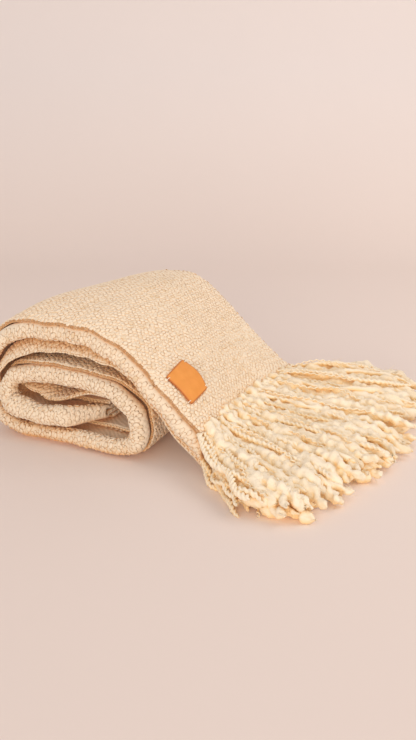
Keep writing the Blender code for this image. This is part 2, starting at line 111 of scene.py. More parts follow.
# One row for each section, in millimetres, from the fringed end over the top, round the
# outside and into the core: the outer face at the near and the far end, the depth of the
# lower layers, the rounded near fold and how far it stands out, the setback of the two
# selvedges, the sag of the bottom one, and the crown in the middle of the width.
lieColumns = ("nearX", "nearZ", "farX", "farZ", "second", "third", "fourth",
              "nose", "out", "edgeOne", "edgeFour", "droop", "crown")
lieRows = (
    ("fringe end",    216,    54,  226,    60, 16.5, 29.5,   43,   25,   0,  8,  6,    0, 10),
    ("flap low",      195,    79,  205,    68, 15.5, 28.5,   42,   26,   0,  6,  8,    0, 11),
    ("flap middle",   168,   106,  168,    94, 14.5, 26.2, 38.5,   24,   0,  4, 12,    2, 12),
    ("flap top",      141,   128,  124,   130, 14.5, 25.8, 37.2,   24,   0,  4, 13,    3, 13),
    ("shoulder",      110, 157.5,   89,   162,   15, 25.5,   37, 23.2,   0,  5, 14,    4, 14),
    ("crest right",    71,   180,   58,   187, 14.5, 26.5,   40, 24.8,   0,  3, 10,    8, 14),
    ("crest front",    28, 191.5,   22,   201,   14,   27,   42, 25.8,   0,  1,  9,   10, 14),
    ("crest",         -18,   193,  -18,   201,   14,   27, 41.5, 25.8,   0,  1,  9,   10, 14),
    ("crest left",    -65,   190,  -64,   187,   14, 26.5,   40,   25,   0,  3,  6,   13, 14),
    ("left upper",   -110,   173, -110,   164,   13, 24.5,   37,   24,   0, 12,  2,   15, 13),
    ("left high",    -142,   144, -145,   135,   12,   22,   33, 22.5,   0, 16,  0,   13, 11),
    ("left",         -163,    98, -166,    90, 11.5, 20.5,   29, 20.5,   0, 14,  4,    8,  8),
    ("left low",     -156,    46, -158,    42, 11.5,   20,   28, 20.5,   0, 18, 22,    0,  4),
    ("base left",    -126,    11, -128,    10, 11.8, 20.2,   28, 19.5,   0, 12, 40,    0,  1),
    ("base back",     -88,     0,  -90,     0, 11.8, 20.2, 28.2, 19.5,   0, 12, 44,    0,  0),
    ("base middle",   -25,     0,  -32,     0, 11.8, 20.2, 28.2,   20,   0, 12, 44,    0,  0),
    ("base lump",      24,     0,   12,     0, 11.8, 20.5,   28, 25.5,   0, 20, 44,    0,  0),
    ("base front",     52,     0,   36,     0, 11.3, 19.3, 27.3, 25.5,   3, 20, 44,    0,  0),
    ("base right",     80,     0,   58,     0, 11.3, 19.3, 27.5,   25,   4, 20, 40,    0,  0),
    ("right foot",    110,     6,   88,     6, 11.5,   20, 28.5,   27,   3, 20, 34,    0,  0),
    ("right low",     129,    23,  106,    23,   12, 21.3, 30.5, 29.5,   2, 21, 28,    0,  0),
    ("right",         134,    46,  111,    46, 12.2,   22,   32,   30,   0, 23, 24,    0,  0),
    ("right high",    130,    74,  103,    71, 12.8, 23.5, 33.5,   30,   0, 23, 22,    0,  0),
    ("inner right",   109,    99,   81,    93, 13.5,   26,   35,   30,   0, 21, 20,    0,  0),
    ("inner front",    79, 118.5,   54,   113,   14,   27,   36, 27.8,   0, 11, 18,    0,  0),
    ("inner top",      34, 125.5,   20, 123.5, 14.2, 27.7,   40, 26.8,   0,  6, 18,    2,  0),
    ("inner sag",     -30, 128.5,  -38, 126.5, 14.5,   30, 59.2, 29.5,   0,  4, 18,    6,  0),
    ("inner back",    -58, 127.5,  -62, 125.5, 14.5, 29.5, 49.5, 28.6,   0,  5, 18, 12.5,  0),
    ("inner turn",    -84, 122.5,  -86, 120.5,   14, 27.5, 41.5, 27.4,   0, 10, 18,  9.5,  0),
    ("inner upper",  -106,   115, -108,   113, 12.5, 24.5, 36.5,   27,   0, 20, 20,    3,  0),
    ("inner high",   -121,    99, -123,    98,   12,   22, 31.5, 26.5,   0, 22, 22,    0,  0),
    ("inner left",   -128,    77, -130,    76, 11.5,   20,   28,   29,   4, 26, 28,    0,  0),
    ("inner low",    -121,    54, -123,    54, 11.5, 20.5,   29,   33,  10, 34, 36,    0,  0),
    ("inner foot",   -106,  39.5, -108,  39.5,   12,   22,   31,   35,  14, 44, 44,    0,  0),
    ("core back",     -82,    34,  -85,    34,   12,   22,   31,   35,  14, 50, 48,    0,  0),
    ("core dip",      -45,  33.5,  -50,  33.5, 10.2, 17.2, 24.5,   30,  14, 50, 48,    0,  0),
    ("core middle",    -8,    34,  -14,    34, 11.2, 19.5, 27.5, 33.5,  12, 50, 48,    0,  0),
    ("core front",     18,    34,    8,    34, 11.3, 19.3, 27.3, 27.5, -14, 50, 48,    0,  0),
    ("core end",       40,    34,   28,    34, 11.3, 19.3, 27.3, 20.5, -40, 64, 52,    0,  0),
)
looseEnd = {"fringe end": (1.0, 0.024), "flap low": (0.5, 0.014), "flap middle": (0.1, 0.005)}
lieColumns += ("plumb", "bow")      # how plumb the stack hangs, and how far its face draws back

cloth = {
    "width": 0.340,          # fold to fold, the length of the roll
    "halfThick": 0.0027,     # the yarn's relief stands on this
    "topDepth": 0.00325,     # middle of the top layer under the outer face
    "sections": 236,
    "turnWeight": 0.022,     # metres of straight cloth that a radian of turn counts as
    "flare": 0.012,          # the near fold swells over this length
    "setback": 0.004,        # the second far turn lies this far inside the first
    "droopLength": 0.032,    # the bottom selvedge sags over this length
    "lip": 0.0015,           # the top selvedge bends down over the near fold
    "lipLength": 0.014,
    "lipSetback": 0.010,     # no lip from this setback on
    "lipFade": 0.005,
    "wave": 0.0011,          # height of the gentle unevenness
    "waveFrom": 0.012,       # from this height above the floor
    "waveFade": 0.05,
}
fold = {                     # columns in each stretch across the fold
    "lip": 4, "layer one": 31, "far turn": 9, "layer two": 22, "swell": 5, "near fold": 13,
    "settle": 5, "layer three": 22, "second far turn": 9, "layer four": 20, "sag": 10,
}


# Cubic through the rows, whose slope at a row is the harmonic mean of its two sides.
def smoothRows(places, values, wanted):
    steps = np.diff(places)[:, None]
    slopes = np.diff(values, axis=0) / steps
    before, after = slopes[:-1], slopes[1:]
    sameWay = before * after > 0
    tangents = np.vstack([slopes[:1], np.zeros_like(before), slopes[-1:]])
    tangents[1:-1] = np.where(sameWay, 2 * before * after / np.where(sameWay, before + after, 1), 0)
    row = np.clip(np.searchsorted(places, wanted, side="right") - 1, 0, len(places) - 2)
    step = steps[row]
    t = (wanted - places[row])[:, None] / step
    return ((2 * t**3 - 3 * t**2 + 1) * values[row] + (t**3 - 2 * t**2 + t) * step * tangents[row]
            + (3 * t**2 - 2 * t**3) * values[row + 1] + (t**3 - t**2) * step * tangents[row + 1])


lieTable = np.hstack([np.array([row[1:] for row in lieRows]) / 1000,
                      [looseEnd.get(row[0], (0.0, 0.0)) for row in lieRows]])
liePlaces = np.pad(np.cumsum(np.hypot(*np.diff(lieTable[:, :2], axis=0).T)), (1, 0))
clothLength = liePlaces[-1]


# Every column of the table at places along the cloth, in the same shape as along.
def lieAt(along):
    along = np.asarray(along, dtype=float)
    values = smoothRows(liePlaces, lieTable, along.ravel())
    return {name: column.reshape(along.shape) for name, column in zip(lieColumns, values.T)}


# Outer face and the way down through the stack as X and Z, and their slant.
# The face is ruled from near to far, drawn back by bow and raised by crown, both a
# sine over the width, and by a few slow waves that fade where the roll rests.
def outerFace(along, across):
    share = across / cloth["width"]
    inside = np.clip(share, 0, 1)

    def ruled(at):
        row = lieAt(at)
        x = row["nearX"] * (1 - share) + row["farX"] * share - row["bow"] * np.sin(np.pi * inside)
        z = row["nearZ"] * (1 - share) + row["farZ"] * share
        return joined(x, z), row

    step = 0.002
    ahead, behind = np.minimum(along + step, clothLength), np.maximum(along - step, 0.0)
    tangent = unit(ruled(ahead)[0] - ruled(behind)[0])
    inward = joined(-tangent[..., 1], tangent[..., 0])
    face, row = ruled(along)
    plumb = row["plumb"][..., None]
    down = unit(inward * (1 - plumb) + np.array([0.0, -1.0]) * plumb)
    ripple = (np.sin(19 * along + 11 * across + 0.6) + 0.7 * np.sin(31 * across - 23 * along)
              + 0.5 * np.sin(47 * along + 38 * across + 2.0))
    free = np.clip((face[..., 1] - cloth["waveFrom"]) / cloth["waveFade"], 0, 1)
    raised = row["crown"] * np.sin(np.pi * inside ** 0.7) + cloth["wave"] * ripple * free
    return face - inward * raised[..., None], down, np.sum(down * inward, axis=-1)


# Middle line of the cloth across the fold, as distance, depth and column ranges.
# Straight layers join half circles; the near fold is a larger circle that the layers
# swell into, and the bottom selvedge sags as the square of the way to its edge.
def foldAcross(row, along):
    parts, ranges, count = [], {}, 0
    top, width = cloth["topDepth"] + 0 * along, cloth["width"]
    second, third, fourth = row["second"], row["third"], row["fourth"]
    jitter = 0.0012 * np.sin(120 * along) + 0.0009 * np.sin(57 * along + 1.0)

    def add(name, distance, depth):
        nonlocal count
        distance, depth = np.broadcast_arrays(distance, depth)
        ranges[name] = (count, count + distance.shape[1])
        count += distance.shape[1]
        parts.append((distance, depth))

    def steps(name, last=False):
        return np.linspace(0, 1, fold[name], endpoint=last)

    def line(name, start, end, depth):
        add(name, start + (end - start) * steps(name), depth)

    def turn(name, centre, middle, radius, side):
        angle = np.pi * steps(name)
        add(name, centre + side * radius * np.sin(angle), middle - radius * np.cos(angle))

    radius = (second - top) / 2
    edge = width - radius
    lipBend = cloth["lip"] * np.clip((cloth["lipSetback"] - row["edgeOne"]) / cloth["lipFade"], 0, 1)
    lipEnd = row["edgeOne"] + cloth["lipLength"]
    add("lip", row["edgeOne"] + jitter + (cloth["lipLength"] - jitter) * steps("lip"),
        top + lipBend * (1 - steps("lip")) ** 1.5)
    line("layer one", lipEnd, edge, top)
    turn("far turn", edge, (top + second) / 2, radius, 1)
    bulb = row["nose"] / 2 - cloth["topDepth"]
    centre, middle = bulb - row["out"] + jitter, (second + third) / 2
    line("layer two", edge, centre + cloth["flare"], second)
    ease = steps("swell") ** 2 * (3 - 2 * steps("swell"))
    add("swell", centre + cloth["flare"] * (1 - steps("swell")),
        second + (middle - bulb - second) * ease)
    turn("near fold", centre, middle, bulb, -1)
    add("settle", centre + cloth["flare"] * steps("settle"),
        middle + bulb + (third - middle - bulb) * ease)
    radius = (fourth - third) / 2
    edge = width - cloth["setback"] - radius
    line("layer three", centre + cloth["flare"], edge, third)
    turn("second far turn", edge, (third + fourth) / 2, radius, 1)
    sagStart = row["edgeFour"] + cloth["droopLength"]
    line("layer four", edge, sagStart, fourth)
    sag = steps("sag", last=True)
    add("sag", sagStart + (row["edgeFour"] + jitter - sagStart) * sag, fourth + row["droop"] * sag**2)
    distance, depth = (np.concatenate(part, axis=1) for part in zip(*parts))
    return distance, depth, ranges


# Places along the cloth, closer where it turns.
def sectionPlaces():
    fine = np.linspace(0.0, clothLength, 900)
    row = lieAt(fine)
    heading = np.unwrap(np.arctan2(np.gradient(row["nearZ"]), np.gradient(row["nearX"])))
    cost = fine + cloth["turnWeight"] * np.pad(np.cumsum(np.abs(np.diff(heading))), (1, 0))
    return np.interp(np.linspace(0.0, cost[-1], cloth["sections"]), cost, fine)[:, None]


# Both faces of the cloth as grids of points: half a thickness to each side of the middle.
def clothFaces():
    along = sectionPlaces()
    distance, depth, ranges = foldAcross(lieAt(along), along)
    top, half = cloth["topDepth"], cloth["halfThick"]
    run = unit(joined(np.gradient(distance, axis=1), np.gradient(depth, axis=1)))
    faces = []
    for side in (-1, 1):
        y = distance - side * run[..., 1] * half
        outer, down, slant = outerFace(along, y)
        d = depth - top + (top + side * run[..., 0] * half) / slant
        face = outer + down * d[..., None]
        faces.append(joined(face[..., 0], y, face[..., 1]))
    steps = np.hypot(np.diff(distance), np.diff(depth))
    across = np.pad(np.cumsum(steps, axis=1), ((0, 0), (1, 0)))
    return faces, along[:, 0], across, ranges


(upperFace, lowerFace), alongPlaces, acrossPlaces, span = clothFaces()
shift = np.array([clothLow[0] - upperFace[..., 0].min(), clothHigh[1] - upperFace[..., 1].max(), 0.0])
upperFace, lowerFace = upperFace + shift, lowerFace + shift
print("cloth laid out:", round(clothLength, 3), "x", np.median(acrossPlaces[:, -1]).round(3), "m")


# A closed sheet: two grids of points, joined along their four edges.
def closedSheet(upper, lower):
    rows, columns = upper.shape[:2]
    top = np.arange(rows * columns).reshape(rows, columns)
    under = top + rows * columns

    def rim(a, b):
        return joined(a[:-1], b[:-1], b[1:], a[1:])

    faces = [gridFaces(rows, columns, 0, True), gridFaces(rows, columns, rows * columns),
             rim(top[:, 0], under[:, 0])[:, ::-1], rim(top[:, -1], under[:, -1]),
             rim(top[0], under[0]), rim(top[-1], under[-1])[:, ::-1]]
    return np.concatenate([upper.reshape(-1, 3), lower.reshape(-1, 3)]), faces


# The woven cloth between its two faces.
def clothMesh():
    points, faces = closedSheet(upperFace, lowerFace)
    flat = joined(acrossPlaces, alongPlaces[:, None]).reshape(-1, 2)
    return makeMesh("wovenCloth", points, faces, np.concatenate([flat, flat]),
                    np.full(2 * len(flat), 0.55))


weave = {
    "pick": 0.0047,          # from one weft yarn to the next
    "float": 0.0090,         # from one float to the next on a yarn, staggered by half
    "long": 0.0046, "wide": 0.0032, "high": 0.0011,     # half sizes of a float and its height
    "bead": (0.0034, 0.0021, 0.0019),                   # the weft's turn at a selvedge
    "disorder": 0.0011, "slub": 0.16,
}
everyRow = (0.004, clothLength - 0.004)      # the stretch of cloth that has such relief


# Bilinear point of a grid at fractional rows i and columns j, and its two directions.
def onGrid(grid, i, j):
    i0 = np.clip(i.astype(int), 0, grid.shape[0] - 2)
    j0 = np.clip(j.astype(int), 0, grid.shape[1] - 2)
    a, b = (i - i0)[:, None], (j - j0)[:, None]
    p00, p10, p01, p11 = grid[i0, j0], grid[i0 + 1, j0], grid[i0, j0 + 1], grid[i0 + 1, j0 + 1]
    point = (p00 * (1 - a) + p10 * a) * (1 - b) + (p01 * (1 - a) + p11 * a) * b
    alongWay = unit((p10 - p00) * (1 - b) + (p11 - p01) * b)
    acrossWay = unit((p01 - p00) * (1 - a) + (p11 - p10) * a)
    return point, alongWay, acrossWay


# A closed rounded lump of unit size: a pole, two rings and a pole underneath.
def pebble(sides=6):
    angle = 2 * np.pi * np.arange(sides) / sides
    ring = joined(np.cos(angle), np.sin(angle), 0)
    points = np.concatenate([[[0, 0, 1]], ring * 0.70 + [0, 0, 0.74], ring, [[0, 0, -0.45]]])
    k = np.arange(sides)
    n = (k + 1) % sides
    caps = np.concatenate([joined(0, 1 + k, 1 + n),
                           joined(2 * sides + 1, 1 + sides + n, 1 + sides + k)])
    wall = joined(1 + k, 1 + sides + k, 1 + sides + n, 1 + n)
    return points, caps, wall


# One mesh of many pebbles: each point is centre + the three ways times size times unit point.
def pebbleMesh(name, centres, ways, sizes, uv, tints):
    unitPoints, caps, wall = pebble()
    local = unitPoints[None] * sizes[:, None]
    points = centres[:, None] + sum(local[..., k:k + 1] * ways[k][:, None] for k in range(3))
    offset = (np.arange(len(centres)) * len(unitPoints))[:, None, None]
    faces = [(caps[None] + offset).reshape(-1, 3), (wall[None] + offset).reshape(-1, 4)]
    flat = uv[:, None] + local[..., :2][..., ::-1]
    return makeMesh(name, points.reshape(-1, 3), faces, flat.reshape(-1, 2),
                    np.repeat(tints, len(unitPoints)))


# Fractional rows and columns of the floats, yarn by yarn, each yarn a half step on.
def floatPlaces(columns, fromAlong, toAlong):
    lines = np.arange(fromAlong, toAlong, weave["pick"])
    found = []
    for number, line in enumerate(lines):
        i = np.interp(line, alongPlaces, np.arange(len(alongPlaces)))
        k = min(int(i), len(alongPlaces) - 2)
        measure = acrossPlaces[k] * (1 - i + k) + acrossPlaces[k + 1] * (i - k)
        start = measure[columns[0]] + weave["float"] * (0.25 + 0.5 * (number % 2))
        v = np.arange(start, measure[min(columns[1], len(measure) - 1)], weave["float"])
        v = v + rng.normal(0, weave["disorder"], len(v))
        found.append((i + rng.normal(0, 0.10, len(v)), np.interp(v, measure, np.arange(len(measure))),
                      np.full(len(v), number)))
    return [np.concatenate(part) for part in zip(*found)]


# Floats of weft on a face of the cloth.  A slub makes stretches of a yarn thicker: a slow
# sine along the roll, set off from yarn to yarn.  None lies where the roll rests, up to
# the height keepAbove.
def floatMesh(name, grid, outward, patches, keepAbove=0.0035, stretch=1.0):
    found = [floatPlaces(*patch) for patch in patches]
    i, j, order = (np.concatenate(part) for part in zip(*found))
    i = np.clip(i, 0, grid.shape[0] - 1.001)
    point, alongWay, acrossWay = onGrid(grid, i, j)
    clear = point[:, 2] > keepAbove
    i, j, order, point, alongWay, acrossWay = (
        part[clear] for part in (i, j, order, point, alongWay, acrossWay))
    normal = outward * unit(np.cross(alongWay, acrossWay))
    acrossWay = unit(np.cross(normal, alongWay))
    slub = 1 + weave["slub"] * np.sin(point[:, 1] * 90 + order * 2.4) + rng.normal(0, 0.10, len(i))
    slub = np.clip(slub, 0.65, 1.45)
    long = weave["long"] * stretch * (0.85 + 0.15 * slub) * rng.uniform(0.85, 1.15, len(i))
    sizes = joined(weave["wide"] * slub, long, weave["high"] * slub)
    tints = np.clip(0.5 + rng.normal(0, 0.13, len(i)) + 0.10 * np.sin(order * 1.7), 0, 1)
    return pebbleMesh(name, point, (alongWay, acrossWay, normal), sizes, joined(j, i) * 0.01, tints)


# Where a weft yarn turns back at a selvedge it makes a bead, one every 1.2 picks.
def selvedgeMesh(name, column, tone):
    lines = np.arange(*everyRow, 1.2 * weave["pick"])
    i = np.interp(lines, alongPlaces, np.arange(len(alongPlaces)))
    j = np.full(len(i), float(column))
    top, alongWay, acrossWay = onGrid(upperFace, i, j)
    under = onGrid(lowerFace, i, j)[0]
    outwards = acrossWay if column else -acrossWay
    thick = unit(top - under)
    centre = (top + under) / 2 + outwards * 0.0004
    sizes = np.array(weave["bead"]) * rng.uniform(0.82, 1.2, (len(i), 1))
    tints = tone + rng.normal(0, 0.08, len(i))
    return pebbleMesh(name, centre, (alongWay, thick, outwards), sizes, joined(j * 0.01, lines), tints)


# The fan: place along the cut end, heading in degrees from +X, reach and pile of the heap.
fan = np.array((
    (0.00, -43, 0.166, 0.80), (0.10, -29, 0.222, 0.85), (0.28, -11, 0.245, 0.95),
    (0.50,   1, 0.258, 1.05), (0.72,  11, 0.255, 1.20), (0.90,  24, 0.240, 1.36),
    (1.00,  36, 0.215, 1.36),
))
stackHeight = lieAt(0.0)["fourth"] + cloth["topDepth"]
lay = {                      # for every strand
    "turn": 0.35, "bend": 0.7, "curl": 0.9,          # shares of its wander
    "sink": 0.38, "bump": 0.0030, "floor": 0.0006,
    "margin": 0.004,                                 # left inside the fringe's box
}

# Each tier is a number of strands, how far down the stack they leave the cut end, their
# resting height, their share of the reach and how much they crowd to the near corner.
# Landing is the way that a strand takes to come down, flare how much it thickens towards
# its tip, farSize its size at the far end, and first the place of the nearest strand.
rovings = {                  # thick-and-thin roving of two soft plies
    "samples": 92, "sides": 15, "radius": 0.0100, "plyShift": 0.34, "plySize": 0.72,
    "pitch": 0.056, "slub": 0.60, "fluff": 0.0022, "wander": 30, "landing": 0.070, "farSize": 0.85,
    "flare": 0.02, "first": 0.09,
    "tiers": ((20, 0.95, 0.0005, 1.00, 0.9), (22, 0.66, 0.0120, 1.00, 0.85),
              (22, 0.36, 0.0240, 0.97, 0.85), (24, 0.06, 0.0345, 0.93, 0.85)),
}
bed = {                      # the crowd of rovings in between, seen only in the gaps
    "samples": 44, "sides": 9, "radius": 0.0092, "plyShift": 0.10, "plySize": 0.92,
    "pitch": 0.090, "slub": 0.30, "fluff": 0.0020, "wander": 12, "landing": 0.066, "farSize": 0.95,
    "flare": 0.40, "first": 0.05,
    "tiers": ((40, 0.45, 0.0200, 0.90, 1.0), (50, 0.15, 0.0310, 0.86, 0.9)),
}
wisps = {                    # thin, barely twisted roving, most of it on the far side
    "samples": 96, "sides": 7, "radius": 0.0036, "plyShift": 0.25, "plySize": 0.80,
    "pitch": 0.060, "slub": 0.95, "fluff": 0.0007, "wander": 34, "landing": 0.060, "farSize": 1.0,
    "flare": 0.12, "first": 0.012,
    "tiers": ((8, 0.70, 0.0230, 0.98, 0.8), (8, 0.30, 0.0420, 0.94, 0.8),
              (8, 0.02, 0.0480, 0.90, 0.8)),
}
plied = {                    # cords of two plies with a tight twist
    "samples": 120, "sides": 8, "radius": 0.0044, "plyShift": 0.50, "plySize": 0.58,
    "pitch": 0.019, "slub": 0.25, "fluff": 0.0004, "wander": 22, "landing": 0.060, "farSize": 0.8,
    "flare": 0.12, "first": 0.012,
    "tiers": ((12, 0.75, 0.0010, 0.78, 2.4), (15, 0.30, 0.0300, 0.84, 2.2),
              (16, 0.02, 0.0480, 0.90, 1.8)),
}
warps = {                    # thin hard-spun warp ends that keep the weave's crimp
    "samples": 112, "sides": 6, "radius": 0.0017, "plyShift": 0.35, "plySize": 0.70,
    "pitch": 0.009, "slub": 0.10, "fluff": 0.0, "wander": 20, "landing": 0.060, "farSize": 1.0,
    "flare": 0.0, "first": 0.012,
    "crimp": 0.0017, "crimpLength": 0.0105,
    "tiers": ((8, 0.80, 0.0140, 0.92, 1.3), (8, 0.40, 0.0430, 0.85, 1.2),
              (8, 0.02, 0.0560, 0.85, 1.0)),
}


# A cheap noise, mostly from -1 to 1: sines in random directions, about one wavelength long,
# added up and divided by 1.3 times the root of their number.
def softNoise(points, wavelength, seed, waves=7):
    own = np.random.default_rng(seed)
    directions = unit(own.normal(size=(waves, 3))) * own.uniform(0.75, 1.35, (waves, 1))
    phase = own.uniform(0, 2 * np.pi, waves)
    turns = points @ directions.T * (2 * np.pi / wavelength) + phase
    return np.sin(turns).sum(axis=-1) / math.sqrt(waves) / 1.3


# Points at the cut end: where runs 0 to 1 along it, level 0 to 1 down it, and back is how
# far up the cloth the strand is woven in.
def cutEnd(where, level, back):
    y = cloth["width"] * where
    outer, down, _ = outerFace(back, y)
    point = outer + down * (level * stackHeight)[:, None]
    return joined(point[:, 0], y, point[:, 1]) + shift


# How far along its route each point lies: the sum of the steps up to it.
def lengthAlong(routes):
    return np.cumsum(np.linalg.norm(np.diff(routes, axis=1, prepend=routes[:, :1]), axis=2), axis=1)


# The level way across a route: straight up crossed with the route's own way.
def sideways(routes):
    return unit(np.cross((0.0, 0.0, 1.0), unit(np.gradient(routes, axis=1))))


# Routes of strands: out on the fan's heading with a wandering angle, summed step by step,
# and down to the resting height as the square of the way left to the landing point.
# A route that would leave the fringe's box is drawn in towards its root.
def strandRoutes(where, level, rest, reachBy, settings):
    count, samples = len(where), settings["samples"]
    heading, reach, pile = smoothRows(fan[:, 0], fan[:, 1:], where).T
    back = np.where(level < 0.1, rng.uniform(0, 0.012, count), 0.0)
    root = cutEnd(where, level, back)
    t = np.linspace(0, 1, samples)[None]
    wander = settings["wander"] * rng.normal(0, 1, (3, count, 1))
    phase = rng.uniform(0, 2 * np.pi, (2, count, 1))
    angle = np.radians(heading[:, None] + lay["turn"] * wander[0] * t
                       + lay["bend"] * wander[1] * np.sin(5.5 * t + phase[0]) * t**0.5
                       + lay["curl"] * wander[2] * np.sin(15 * t + phase[1]) * t**0.5)
    step = (reach * reachBy + back)[:, None] / (samples - 1)
    x, y = (np.cumsum(way * step, axis=1) - way[:, :1] * step
            for way in (np.cos(angle), np.sin(angle)))
    room = [(fringeHigh[0] - lay["margin"] - root[:, 0], x.max(axis=1)),
            (fringeHigh[1] - lay["margin"] - root[:, 1], y.max(axis=1)),
            (root[:, 1] - fringeLow[1] - lay["margin"], -y.min(axis=1))]
    share = np.min([np.clip(space / np.maximum(way, 1e-6), 0.3, 1) for space, way in room], axis=0)
    x, y = x * share[:, None] + root[:, :1], y * share[:, None] + root[:, 1:2]
    way = (reach * reachBy * share)[:, None] * t
    under = (rest * pile)[:, None] * (1 - lay["sink"] * t**2)
    left = np.clip(1 - way / (settings["landing"] * rng.uniform(0.8, 1.2, (count, 1))), 0, 1)
    bumps = lay["bump"] * np.sin(16 * t + phase[0]) * t
    z = under + settings["radius"] + bumps + (root[:, 2:3] - under - settings["radius"]) * left**2
    return joined(x, y, z)


# Closed tubes.  The outline is that of two round plies side by side, turned along the way:
# shift * |cos a| + sqrt(size^2 - shift^2 sin^2 a), times the strand's radius.
# Soft noise roughens it, and what would sink into the floor lies flat on it.
def strandMesh(name, routes, radii, twist, shiftBy, settings, tints):
    count, samples = routes.shape[:2]
    sides = settings["sides"]
    forward = unit(np.gradient(routes, axis=1))
    side = sideways(routes)
    up = np.cross(forward, side)
    angle = 2 * np.pi * np.arange(sides) / sides
    turned = angle[None, None] - twist[..., None]
    apart = (settings["plyShift"] * shiftBy)[..., None]
    shape = apart * np.abs(np.cos(turned)) + np.sqrt(settings["plySize"]**2 - (apart * np.sin(turned))**2)
    around = side[:, :, None] * np.cos(angle)[:, None] + up[:, :, None] * np.sin(angle)[:, None]
    ring = routes[:, :, None] + (radii[..., None] * shape)[..., None] * around
    if settings["fluff"]:
        rough = softNoise(ring, 0.016, 3) + 0.55 * softNoise(ring, 0.0075, 4)
        ring = ring + (settings["fluff"] * rough)[..., None] * around
    ends = np.stack([routes[:, 0] - forward[:, 0] * radii[:, :1] * 0.5,
                     routes[:, -1] + forward[:, -1] * radii[:, -1:] * 0.5], axis=1)
    points = np.concatenate([ring.reshape(count, -1, 3), ends], axis=1)
    points[..., 2] = np.maximum(points[..., 2], lay["floor"])
    per = points.shape[1]
    k, n = np.arange(sides), (np.arange(sides) + 1) % sides
    rows = (np.arange(samples - 1) * sides)[:, None]
    wall = joined(rows + k, rows + n, rows + sides + n, rows + sides + k).reshape(-1, 4)
    last = (samples - 1) * sides
    caps = np.concatenate([joined(per - 2, n, k), joined(per - 1, last + k, last + n)])
    offset = (np.arange(count) * per)[:, None, None]
    uv = joined(angle * settings["radius"], lengthAlong(routes)[..., None])
    uv = np.concatenate([uv.reshape(count, -1, 2), np.zeros((count, 2, 2))], axis=1)
    faces = [(wall[None] + offset).reshape(-1, 4), (caps[None] + offset).reshape(-1, 3)]
    return makeMesh(name, points.reshape(-1, 3), faces, uv.reshape(-1, 2), np.repeat(tints, per))


# Radii, twist and ply spacing along routes.  Slubs are five bell curves on each strand,
# held back where it leaves the weave; the plies part less and turn more slowly in a slub,
# and the tip is rounded off.
def spun(routes, settings):
    count, samples = routes.shape[:2]
    t = np.linspace(0, 1, samples)[None, :, None]
    middle = rng.uniform(0.04, 0.98, (count, 1, 5))
    breadth = rng.uniform(0.035, 0.10, (count, 1, 5))
    height = rng.uniform(0.15, 1.0, (count, 1, 5))
    slub = np.minimum((height * np.exp(-((t - middle) / breadth)**2)).sum(axis=-1), 1.3)
    t = t[..., 0]
    slub = slub * np.clip(0.25 + 5 * t, 0, 1)
    thin = 1 - rng.uniform(0.25, 0.75, (count, 1)) * np.clip((t - 0.80) / 0.20, 0, 1)**2
    tip = thin * np.sqrt(np.clip(1 - np.clip((t - 0.955) / 0.045, 0, 1)**2, 0.02, 1))
    radii = (settings["radius"] * (0.80 + settings["slub"] * slub) * (1 + settings["flare"] * t) * tip
             * rng.uniform(0.88, 1.12, (count, 1)))
    length = np.linalg.norm(np.diff(routes, axis=1, prepend=routes[:, :1]), axis=2)
    rate = (1.25 - 0.75 * np.clip(slub, 0, 1) * settings["slub"]) / settings["pitch"]
    twist = np.cumsum(2 * np.pi * length * rate, axis=1) + rng.uniform(0, 2 * np.pi, (count, 1))
    return radii, twist, 1 - 0.65 * settings["slub"] * np.clip(slub, 0, 1)


# Strands of every tier, spread over the cut end with a little disorder.  Crimp is a wave
# to the sides, with 0.6 of it up and down, a quarter turn behind.
def tierMesh(name, settings, tiers):
    found = []
    for count, level, height, share, crowd in tiers:
        place = (np.arange(count) + 0.5 + rng.normal(0, 0.14, count)) / count
        level = np.clip(level + rng.normal(0, 0.03, count), -0.03, 0.98)
        height = height + rng.normal(0, 0.0012, count)
        found.append((np.clip(place, 0.01, 0.99) ** crowd, level, height,
                      share * rng.uniform(0.90, 1.04, count)))
    where, level, rest, reachBy = (np.concatenate(part) for part in zip(*found))
    where = np.clip(where, settings["first"], 0.988)
    routes = strandRoutes(where, level, rest, reachBy, settings)
    size = 1 + (settings["farSize"] - 1) * where[:, None]
    if "crimp" in settings:
        wave = 2 * np.pi * lengthAlong(routes) / settings["crimpLength"]
        wave = wave + rng.uniform(0, 6, (len(where), 1))
        routes = routes + settings["crimp"] * (sideways(routes) * np.sin(wave)[..., None]
                                               + np.array([0, 0, 0.6]) * np.cos(wave)[..., None])
    tints = np.clip(0.55 + rng.normal(0, 0.2, len(where)), 0, 1)
    radii, twist, apart = spun(routes, settings)
    laid.append((routes, radii * size))
    return strandMesh(name, routes, radii * size, twist, apart, settings, tints)


laid = []                    # routes and radii of the strands that fibres stand off
fibres = {                   # spare is how far one may stand out of the fringe's box
    "count": 2100, "length": 0.013, "radius": 0.00028, "spare": 0.006,
    "samples": 6, "sides": 3, "plyShift": 0.0, "plySize": 1.0, "fluff": 0,
}


